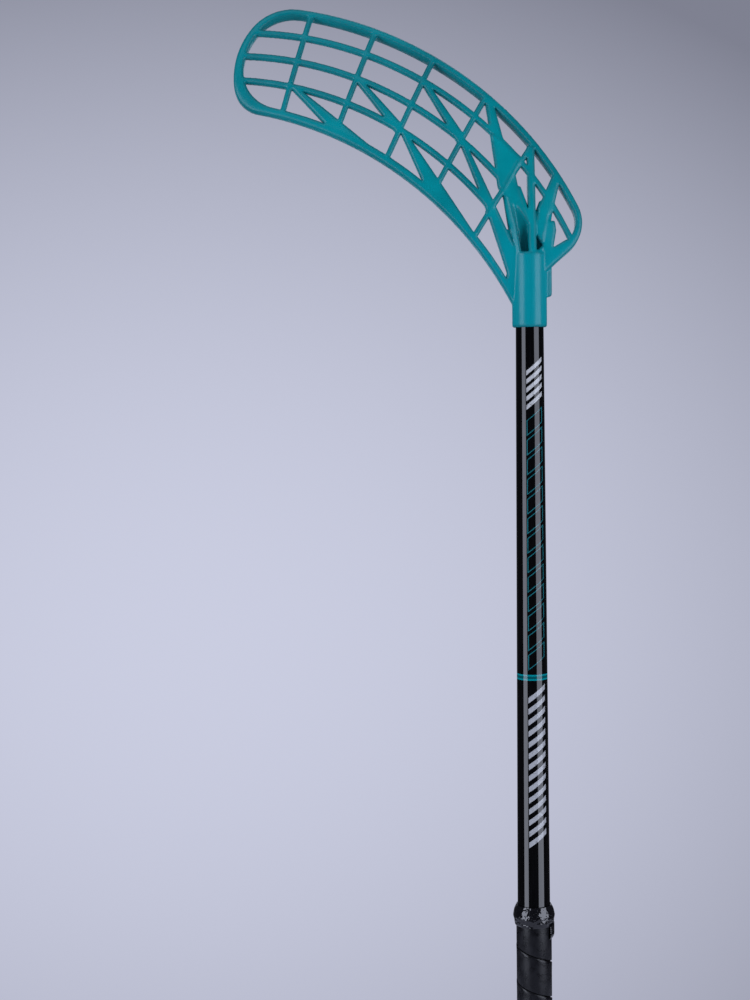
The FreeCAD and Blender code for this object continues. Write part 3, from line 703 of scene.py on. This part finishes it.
@dataclass
class Screws:
    """The two screws that hold the blade, and the holes that they sit in."""

    nodes: Tuple[str, str] = ("upper_blade_screw", "lower_blade_screw")
    hole_radius: float = 0.00150
    spot_radius: float = 0.00320
    spot_depth: float = 0.0005
    hosel_radius: float = 0.0126
    reach_share: float = 1.2

    def heights(self) -> List[float]:
        """Return the heights of the screws' axes along the shaft."""
        middles = []
        for node in self.nodes:
            low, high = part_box(node)
            middles.append((low.z + high.z) / 2)
        return middles

    def hole_cutters(self) -> List[bpy.types.Object]:
        """Return rods for the holes, from the shaft's axis out through the hosel."""
        reach = self.hosel_radius * self.reach_share
        return [
            Workshop.rod(self.hole_radius, Vector((0, 0, height)), Vector((0, reach, height)))
            for height in self.heights()
        ]

    def spot_cutters(self) -> List[bpy.types.Object]:
        """Return rods for the flat seats of the screws' heads."""
        seat = self.hosel_radius - self.spot_depth
        reach = self.hosel_radius * self.reach_share
        return [
            Workshop.rod(self.spot_radius, Vector((0, seat, height)), Vector((0, reach, height)))
            for height in self.heights()
        ]

    def dress(self, nodes: Dict[str, bpy.types.Object]) -> None:
        """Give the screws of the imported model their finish.

        Args:
            nodes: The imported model's objects by name.
        """
        finish = ScrewSteel().build()
        for node in self.nodes:
            nodes[node].data.materials.clear()
            nodes[node].data.materials.append(finish)
            LOG.info("%s is dressed", node)


@dataclass(frozen=True)
class Pocket:
    """The sloping floor of the pocket above the hosel's lip, which lies nearer the front at its head.

    Corners are given by their side and their height over the lip.
    """

    lip_over_shaft: float = 0.0026
    corners: Profile = (
        (-0.0136, 0.0413),
        (-0.0106, 0.0233),
        (-0.0072, 0.0008),
        (0.0042, 0.0003),
        (0.0104, 0.0056),
    )
    lip_front: float = 0.0005
    head_front: float = -0.0068
    thickness: float = 0.0085

    def add(self, blade: bmesh.types.BMesh) -> None:
        """Add the floor to the blade's mesh, before the two are made one.

        Args:
            blade: The mesh that takes it.
        """
        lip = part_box("shaft_tube")[1].z + self.lip_over_shaft
        head = max(height for _, height in self.corners)
        fall = (self.head_front - self.lip_front) / head
        front = [
            blade.verts.new((side, self.lip_front + fall * height, lip + height))
            for side, height in self.corners
        ]
        floor = blade.faces.new(front)
        solid = bmesh.ops.extrude_face_region(blade, geom=[floor], use_keep_orig=True)
        back = [item for item in solid["geom"] if isinstance(item, bmesh.types.BMVert)]
        bmesh.ops.translate(blade, verts=back, vec=(0, self.thickness, 0))
        bmesh.ops.recalc_face_normals(blade, faces=blade.faces)


@dataclass(frozen=True)
class Ridge:
    """A rib that runs on over a plate of the fan, given by the side and height of its corners."""

    corners: Profile
    radius: float = 0.0017
    proud: float = 0.0008
    pieces: int = 8
    segments: int = 16
    cast_from: float = -1.0

    def add(self, blade: bmesh.types.BMesh, skin: BVHTree) -> None:
        """Lay the rib on the front of the blade, before the two are made one.

        Args:
            blade: The mesh that takes it.
            skin: The blade's surface.
        """
        spots = []
        for start, end in zip(self.corners, self.corners[1:]):
            for index in range(self.pieces + 1):
                side, height = Vector(start).lerp(Vector(end), index / self.pieces)
                spot = skin.ray_cast(Vector((side, self.cast_from, height)), Vector((0, 1, 0)))[0]
                if spot is not None:
                    spots.append(spot + Vector((0, self.radius - self.proud, 0)))
        for start, end in zip(spots, spots[1:]):
            if (end - start).length > self.proud:
                Workshop.add_rod(blade, self.radius, start, end, self.segments)


@dataclass
class Blade:
    """The moulded blade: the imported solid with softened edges, as a mould leaves them."""

    voxel: float = 0.00050
    smooth_factor: float = 0.5
    softening: int = 16
    regrowth: float = 0.00045
    crowning: int = 14
    kept_share: float = 0.28
    edge_gain: float = 5.5
    edge_spreading: int = 3
    normal_spreading: int = 4
    bore_radius: float = 0.01055
    bore_depth: float = 0.052
    bore_segments: int = 96
    ridges: Tuple[Ridge, ...] = (
        Ridge(((-0.0060, 0.9985), (-0.0210, 0.9725), (-0.0315, 0.9575))),
        Ridge(((-0.0290, 1.0175), (-0.0210, 1.0115), (-0.0070, 0.9983))),
    )

    def softened(self, node: bpy.types.Object) -> bpy.types.Object:
        """Return the blade with its edges rounded.

        Args:
            node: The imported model's blade.

        Returns:
            The softened copy.
        """
        mesh = bmesh.new()
        mesh.from_mesh(node.data)
        bmesh.ops.remove_doubles(mesh, verts=mesh.verts, dist=TINY)
        skin = BVHTree.FromBMesh(mesh)
        Pocket().add(mesh)
        for ridge in self.ridges:
            ridge.add(mesh, skin)
        piece = Workshop.put("blade_moulding", mesh)
        skin = piece.modifiers.new("skin", "REMESH")
        skin.mode = "VOXEL"
        skin.voxel_size = self.voxel
        soften = piece.modifiers.new("soften", "SMOOTH")
        soften.factor = self.smooth_factor
        soften.iterations = self.softening
        regrow = piece.modifiers.new("regrow", "DISPLACE")
        regrow.strength = self.regrowth
        regrow.mid_level = 0.0
        crown = piece.modifiers.new("crown", "SMOOTH")
        crown.factor = self.smooth_factor
        crown.iterations = self.crowning
        crown.use_x = crown.use_z = False
        thin = piece.modifiers.new("thin", "DECIMATE")
        thin.ratio = self.kept_share
        Workshop.settle(piece)
        return piece

    def mark_edges(self, piece: bpy.types.Object, attribute: str) -> None:
        """Store how far each point of the blade stands out, for the painted shade along its edges and their
        roughness.

        Args:
            piece: The blade.
            attribute: The name that the values are stored under.
        """
        mesh = bmesh.new()
        mesh.from_mesh(piece.data)
        mesh.normal_update()
        layer = mesh.verts.layers.float.new(attribute)
        for vert in mesh.verts:
            runs = [
                (edge.other_vert(vert).co - vert.co).normalized().dot(vert.normal)
                for edge in vert.link_edges
            ]
            vert[layer] = min(1.0, max(0.0, -self.edge_gain * sum(runs) / max(1, len(runs))))
        for _ in range(self.edge_spreading):
            spread = [
                sum(edge.other_vert(vert)[layer] for edge in vert.link_edges) / max(1, len(vert.link_edges))
                for vert in mesh.verts
            ]
            for vert, value in zip(mesh.verts, spread):
                vert[layer] = (vert[layer] + value) / 2
        Workshop.shade(mesh)
        mesh.to_mesh(piece.data)
        mesh.free()

    def round_normals(self, piece: bpy.types.Object) -> None:
        """Spread the blade's normals over its points, so that a rib shades as a rounded bar.

        Args:
            piece: The blade.
        """
        mesh = piece.data
        normals = np.empty((len(mesh.vertices), 3), np.float32)
        mesh.vertices.foreach_get("normal", normals.ravel())
        ends = np.empty((len(mesh.edges), 2), np.int32)
        mesh.edges.foreach_get("vertices", ends.ravel())
        first, second = ends.T
        for _ in range(self.normal_spreading):
            total = normals.copy()
            np.add.at(total, first, normals[second])
            np.add.at(total, second, normals[first])
            normals = total / np.linalg.norm(total, axis=1, keepdims=True).clip(TINY)
        mesh.normals_split_custom_set_from_vertices(normals)

    def build(self, node: bpy.types.Object, screws: Screws) -> None:
        """Build and dress the blade.

        Args:
            node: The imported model's blade.
            screws: The screws whose holes it has.
        """
        finish = BladePlastic()
        piece = self.softened(node)
        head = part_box("shaft_tube")[1].z
        foot = head - self.bore_depth - self.bore_radius
        bore = Workshop.rod(self.bore_radius, Vector((0, 0, foot)), Vector((0, 0, head)), self.bore_segments)
        Workshop.carve(piece, [bore, *screws.hole_cutters(), *screws.spot_cutters()])
        self.mark_edges(piece, finish.edge_shade_attribute)
        self.round_normals(piece)
        Workshop.hand_over(piece, finish.build(), Body.STICK, Slot.BLADE, "blade")


@dataclass
class Shaft:
    """The tapered tube: straight under the grip, tapered above it and straight again in the hosel."""

    butt_radius: float = 0.0124
    tip_radius: float = 0.0105
    wall: float = 0.0016
    taper_foot: float = 0.43145
    taper_head: float = 0.87305
    end_round: float = 0.0003
    steps: int = 128

    def build(self, screws: Screws) -> None:
        """Build and dress the tube.

        Args:
            screws: The screws whose holes it has.
        """
        low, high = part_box("shaft_tube")
        soft = self.end_round
        tube = Workshop.lathe([
            (self.butt_radius - self.wall, low.z),
            (self.butt_radius - soft, low.z),
            (self.butt_radius, low.z + soft),
            (self.butt_radius, self.taper_foot),
            (self.tip_radius, self.taper_head),
            (self.tip_radius, high.z - soft),
            (self.tip_radius - soft, high.z),
            (self.tip_radius - self.wall, high.z),
            (self.tip_radius - self.wall, self.taper_head),
            (self.butt_radius - self.wall, self.taper_foot),
        ], self.steps)
        Workshop.shade(tube)
        piece = Workshop.put("shaft", tube)
        Workshop.carve(piece, screws.hole_cutters())
        Workshop.hand_over(piece, ShaftLacquer().build(), Body.STICK, Slot.SHAFT, "shaft_tube")


@dataclass
class GripBand:
    """The grip band, wound on the shaft in one helix whose upper edge stands a little proud.

    The rounded edges are given inward and along the band, in edge rounds, and the rise to the lip as its
    share and its distance below the top, in lip widths.
    """

    pitch: float = 0.028
    seam: float = 0.0007
    inside: float = 0.0127
    outside: float = 0.01345
    lip: float = 0.0136
    lip_width: float = 0.0042
    edge_round: float = 0.0004
    lower_edge: Profile = ((1.0, 0.0), (0.3, 0.6), (0.0, 2.2))
    lip_rise: Profile = ((0.0, 2.0), (0.4, 1.0), (1.0, 0.45))
    upper_edge: Profile = ((0.0, 2.0), (0.4, 0.6), (1.0, 0.0))
    steps_per_turn: int = 72
    start_angle: float = math.radians(-105.0)

    def section(self) -> Profile:
        """Return the band's section: radius and height of each corner."""
        top = self.pitch - self.seam
        soft = self.edge_round
        proud = self.lip - self.outside
        return [
            (self.inside, 0.0),
            *((self.outside - soft * inward, soft * up) for inward, up in self.lower_edge),
            *((self.outside + proud * share, top - self.lip_width * down) for share, down in self.lip_rise),
            *((self.lip - soft * inward, top - soft * down) for inward, down in self.upper_edge),
            (self.inside, top),
        ]

    def build(self) -> None:
        """Build and dress the band."""
        low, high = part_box("grip_band")
        turns = math.ceil((high.z - low.z) / self.pitch) + 2
        steps = turns * self.steps_per_turn
        band = bmesh.new()
        turn = Matrix.Rotation(self.start_angle, 3, "Z")
        corners = [
            band.verts.new(turn @ Vector((radius, 0.0, low.z - self.pitch + height)))
            for radius, height in self.section()
        ]
        face = band.faces.new(corners)
        climb = (0, 0, self.pitch / self.steps_per_turn)
        bmesh.ops.spin(band, geom=[face], cent=(0, 0, 0), axis=(0, 0, 1), dvec=climb,
                       angle=-math.tau * turns, steps=steps)
        for height, up in ((low.z, -1.0), (high.z, 1.0)):
            cut = bmesh.ops.bisect_plane(band, geom=band.verts[:] + band.edges[:] + band.faces[:],
                                         plane_co=(0, 0, height), plane_no=(0, 0, up), clear_outer=True)
            rim = [item for item in cut["geom_cut"] if isinstance(item, bmesh.types.BMEdge)]
            bmesh.ops.contextual_create(band, geom=rim)
        bmesh.ops.recalc_face_normals(band, faces=band.faces)
        Workshop.shade(band)
        piece = Workshop.put("grip_winding", band)
        Workshop.hand_over(piece, GripFoam().build(), Body.STICK, Slot.GRIP, "grip_band")


@dataclass
class FinishingTape:
    """The tape that holds the upper end of the grip band, drawn tight and creased."""

    inside_low: float = 0.0139
    inside_high: float = 0.0127
    bottom_radius: float = 0.0145
    bulge_radius: float = 0.0158
    top_radius: float = 0.0134
    top_drop: float = 0.0024
    bulge_height: float = 0.0075
    step_height: float = 0.0133
    crease: float = 0.00060
    crease_sink: float = 0.15
    ripple_scale: Triple = (210.0, 210.0, 520.0)
    ripple_share: float = 0.5
    fold_scale: Triple = (90.0, 90.0, 330.0)
    fold_shift: Triple = (0.0, 0.0, 7.0)
    fold_share: float = 0.6
    steps: int = 160
    rows: int = 14
    tongue_length: float = 0.0105
    tongue_lift: float = 0.0011
    tongue_dip: float = 0.0018
    tongue_half_angle: float = math.radians(38.0)
    tongue_thickness: float = 0.0006
    tongue_rows: int = 12
    tongue_steps: int = 18
    tongue_root_share: float = 0.12
    tongue_curl_share: float = 0.66

    def add_tongue(self, tape: bmesh.types.BMesh, foot: float) -> None:
        """Add the tape's free end, which hangs below it at the heel side and curls out.

        Args:
            tape: The mesh that takes it.
            foot: The height of the tape's lower edge.
        """
        root = self.tongue_root_share
        line = []
        turn = Matrix.Rotation(-self.tongue_half_angle, 3, "Z")
        for index in range(self.tongue_rows):
            share = index / (self.tongue_rows - 1)
            curl = max(0.0, share - self.tongue_curl_share) / (1.0 - self.tongue_curl_share)
            lift = self.tongue_lift - self.tongue_dip * curl * curl
            drop = foot + self.tongue_length * (root - (1.0 + root) * share)
            line.append(tape.verts.new(turn @ Vector((self.bottom_radius + lift, 0, drop))))
        edges = [tape.edges.new(pair) for pair in zip(line, line[1:])]
        before = set(tape.faces)
        bmesh.ops.spin(tape, geom=line + edges, cent=(0, 0, 0), axis=(0, 0, 1),
                       angle=2 * self.tongue_half_angle, steps=self.tongue_steps)
        sheet = [face for face in tape.faces if face not in before]
        bmesh.ops.recalc_face_normals(tape, faces=sheet)
        bmesh.ops.solidify(tape, geom=sheet, thickness=self.tongue_thickness)

    def radius_at(self, share: float, length: float) -> float:
        """Return the tape's outer radius at a share of its length."""
        bulge = self.bulge_height / length
        if share < bulge:
            rise = math.sin(math.pi / 2 * share / bulge)
            return self.bottom_radius + (self.bulge_radius - self.bottom_radius) * rise
        fall = 1.0 - math.cos(math.pi / 2 * (share - bulge) / (1.0 - bulge))
        return self.bulge_radius - (self.bulge_radius - self.top_radius) * fall

    def build(self) -> None:
        """Build and dress the tape."""
        low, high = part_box("finishing_tape")
        high.z -= self.top_drop
        length = high.z - low.z
        shares = [index / self.rows for index in range(self.rows + 1)]
        outer = [(self.radius_at(share, length), low.z + length * share) for share in shares]
        inner = [
            (self.inside_high, high.z),
            (self.inside_high, low.z + self.step_height),
            (self.inside_low, low.z + self.step_height),
            (self.inside_low, low.z),
        ]
        tape = Workshop.lathe(outer + inner, self.steps)
        for vert in tape.verts:
            flat = Vector((vert.co.x, vert.co.y, 0.0))
            share = (vert.co.z - low.z) / length
            if flat.length < self.radius_at(share, length) - self.crease:
                continue
            ripple = noise.noise(vert.co * Vector(self.ripple_scale))
            fold = noise.noise(vert.co * Vector(self.fold_scale) + Vector(self.fold_shift))
            rise = self.ripple_share * ripple + self.fold_share * fold - self.crease_sink
            vert.co += flat.normalized() * self.crease * rise
        self.add_tongue(tape, low.z)
        Workshop.shade(tape)
        piece = Workshop.put("tape_winding", tape)
        Workshop.hand_over(piece, TapeVinyl().build(), Body.STICK, Slot.TAPE, "finishing_tape")


@dataclass
class EndPlug:
    """The plug that closes the butt end."""

    node: str = "end_plug"

    def dress(self, nodes: Dict[str, bpy.types.Object]) -> None:
        """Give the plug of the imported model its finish.

        Args:
            nodes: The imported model's objects by name.
        """
        nodes[self.node].data.materials.clear()
        nodes[self.node].data.materials.append(PlugRubber().build())
        LOG.info("%s is dressed", self.node)


@dataclass(frozen=True)
class Softbox:
    """A soft lamp that faces the stick from a side or from above, at angles in degrees."""

    azimuth: float
    elevation: float
    width: float
    height: float
    radiance: float
    distance: float = 1.8
    middle: float = 0.72
    tint: Colour = (0.79, 0.84, 1.0)

    def build(self, name: str) -> None:
        """Place the lamp.

        Args:
            name: The lamp's name.
        """
        lamp = bpy.data.lights.new(name, "AREA")
        lamp.shape = "RECTANGLE"
        lamp.color = self.tint
        lamp.size = self.width
        lamp.size_y = self.height
        lamp.energy = self.radiance * math.pi * self.width * self.height
        item = bpy.data.objects.new(name, lamp)
        around = math.radians(self.azimuth)
        above = math.radians(self.elevation)
        level = math.cos(above)
        way = Vector((math.sin(around) * level, -math.cos(around) * level, math.sin(above)))
        away = way * self.distance
        item.location = away + Vector((0, 0, self.middle))
        item.rotation_euler = away.to_track_quat("Z", "Y").to_euler()
        item.visible_camera = False
        bpy.context.scene.collection.objects.link(item)


@dataclass
class Studio:
    """A pale floor, soft lamps, a lilac-grey surround and the camera.

    The surround is brightest below and beside the view's axis, and fades upward and sideways from there.
    """

    floor_radius: float = 0.90
    floor_segments: int = 128
    floor_tone: Colour = (0.56, 0.57, 0.64)
    floor_cloud: Spots = Spots(3.0, 4.0)
    floor_gain: float = 1.06
    floor_roughness: float = 0.8
    backdrop_tone: Colour = (0.59, 0.61, 0.75)
    corner_tone: Colour = (0.212, 0.220, 0.282)
    front_fill: Colour = (0.07, 0.07, 0.08)
    back_fill: Colour = (0.42, 0.43, 0.50)
    dark_room: Colour = (0.022, 0.022, 0.026)
    bright_below: float = 0.14
    bright_aside: float = 0.115
    fade_upward: float = 5.85
    fade_sideways: float = 3.5
    fill_span: Range = (-0.3, 0.6)
    mirror_span: Range = (0.90, 0.985)
    camera_place: Triple = (-0.11749, -1.27893, 0.8253)
    camera_tilt: float = math.radians(86.4)
    camera_roll: float = math.radians(-0.75)
    camera_lens: float = 61.2
    camera_sensor: float = 36.0
    softboxes: Tuple[Softbox, ...] = (
        Softbox(-57.0, 0.0, 1.03, 1.8, 4.2),
        Softbox(52.0, 0.0, 1.38, 1.8, 3.8),
        Softbox(-30.0, 60.0, 1.2, 1.2, 0.9),
        Softbox(165.0, 62.0, 1.2, 1.2, 1.4),
    )

    def build(self) -> None:
        """Build the studio."""
        bpy.context.scene.view_settings.view_transform = "Standard"
        self.lay_floor()
        self.surround()
        for index, softbox in enumerate(self.softboxes):
            softbox.build("softbox_%d" % index)
        self.aim_camera()

    def lay_floor(self) -> None:
        """Lay a plain disc under the stick."""
        mesh = bmesh.new()
        bmesh.ops.create_circle(mesh, cap_ends=True, segments=self.floor_segments, radius=self.floor_radius)
        floor = Workshop.put("floor", mesh)
        surface = Surface("floor_paint")
        cloud = self.floor_cloud.on(surface)
        pale = tuple(part * self.floor_gain for part in self.floor_tone)
        surface.paint(
            Base_Color=surface.mix(surface.span(cloud, MIDDLE, UNIT), self.floor_tone, pale),
            Roughness=self.floor_roughness,
        )
        floor.data.materials.append(surface.material)

    def surround(self) -> None:
        """Make the world: pale to the camera, and dim in front of the stick for its reflections."""
        world = bpy.data.worlds.new("surround")
        bpy.context.scene.world = world
        world.use_nodes = True
        graph = Graph(world.node_tree)
        parts = graph.add("ShaderNodeSeparateXYZ")
        graph.feed(parts.inputs[0], graph.add("ShaderNodeTexCoord").outputs["Generated"])
        sideways, forth, upward = parts.outputs[0], parts.outputs[1], parts.outputs[2]
        rise = graph.sum(Sum.ADD, upward, self.bright_below)
        drift = graph.sum(Sum.ADD, sideways, self.bright_aside)
        fade_up = graph.sum(Sum.TIMES, graph.sum(Sum.TIMES, rise, rise), self.fade_upward)
        fade_aside = graph.sum(Sum.TIMES, graph.sum(Sum.TIMES, drift, drift), self.fade_sideways)
        fade = graph.sum(Sum.ADD, fade_up, fade_aside)
        seen = graph.mix(graph.span(fade, UNIT, UNIT), self.backdrop_tone, self.corner_tone)
        felt = graph.mix(graph.span(forth, self.fill_span, UNIT), self.front_fill, self.back_fill)
        mirrored = graph.mix(graph.span(forth, self.mirror_span, UNIT), self.dark_room, self.backdrop_tone)
        path = graph.add("ShaderNodeLightPath")
        glossy, clear = path.outputs["Is Glossy Ray"], path.outputs["Is Transmission Ray"]
        through = graph.sum(Sum.GREATEST, glossy, clear)
        light = graph.mix(through, felt, mirrored)
        sky = graph.add("ShaderNodeBackground")
        graph.feed(sky.inputs["Color"], graph.mix(path.outputs["Is Camera Ray"], light, seen))
        output = graph.add("ShaderNodeOutputWorld")
        graph.feed(output.inputs["Surface"], sky.outputs["Background"])

    def aim_camera(self) -> None:
        """Place the camera where the photograph was taken from."""
        lens = bpy.data.cameras.new("camera")
        lens.sensor_fit = "VERTICAL"
        lens.sensor_height = self.camera_sensor
        lens.lens = self.camera_lens
        camera = bpy.data.objects.new("camera", lens)
        turn = Matrix.Rotation(self.camera_tilt, 4, "X") @ Matrix.Rotation(self.camera_roll, 4, "Z")
        camera.matrix_world = Matrix.Translation(self.camera_place) @ turn
        bpy.context.scene.collection.objects.link(camera)
        bpy.context.scene.camera = camera


def clear_scene() -> None:
    """Remove the objects that Blender starts with."""
    for item in list(bpy.data.objects):
        bpy.data.objects.remove(item)


def corners(box: Tuple[Vector, Vector]) -> List[List[float]]:
    """Return a box's two corners as plain lists."""
    return [list(box[0]), list(box[1])]


def main() -> None:
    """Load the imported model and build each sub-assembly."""
    logging.basicConfig(level=logging.INFO, format="%(name)s: %(message)s")
    clear_scene()
    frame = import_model()
    screws = Screws()
    Blade().build(frame["nodes"]["blade"], screws)
    Shaft().build(screws)
    GripBand().build()
    FinishingTape().build()
    EndPlug().dress(frame["nodes"])
    screws.dress(frame["nodes"])
    Studio().build()


if __name__ == "__main__":
    main()
